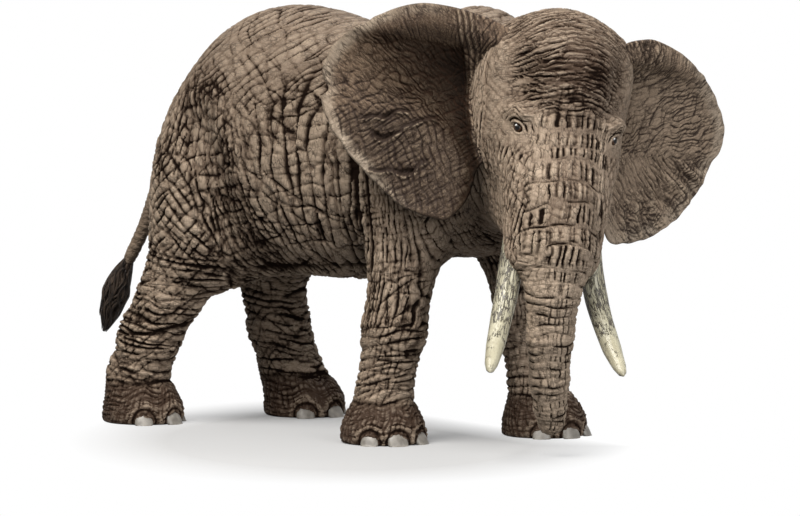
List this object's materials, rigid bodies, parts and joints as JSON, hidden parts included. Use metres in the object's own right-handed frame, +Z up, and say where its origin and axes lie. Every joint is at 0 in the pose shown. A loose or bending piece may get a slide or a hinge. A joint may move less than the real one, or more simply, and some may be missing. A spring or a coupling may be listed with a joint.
{
  "type": "toy elephant figure",
  "caption": "Walking African elephant figure with spread ears and tusks, a solid moulded animal that stands on four flat soles",
  "frame": {"origin": "on the ground, under the middle of the figure's box", "axes": "+X the way the body walks, +Y to the animal's left, +Z up"},
  "size_m": [0.1504, 0.0782, 0.0913],
  "materials": {
    "skin": "wrinkled grey-brown paint with a dark wash in the creases, matt",
    "ivory": "smooth ivory paint with fine dark cracks, satin",
    "nail": "pale grey painted toenails, satin",
    "eye": "black painted eyes, glossy"
  },
  "bodies": {
    "root": {"torso": "skin", "head": "skin", "right_ear": "skin", "left_ear": "skin", "right_tusk": "ivory", "left_tusk": "ivory", "tail": "skin", "right_fore_leg": "skin", "left_fore_leg": "skin", "right_hind_leg": "skin", "left_hind_leg": "skin"}
  },
  "joints": []
}
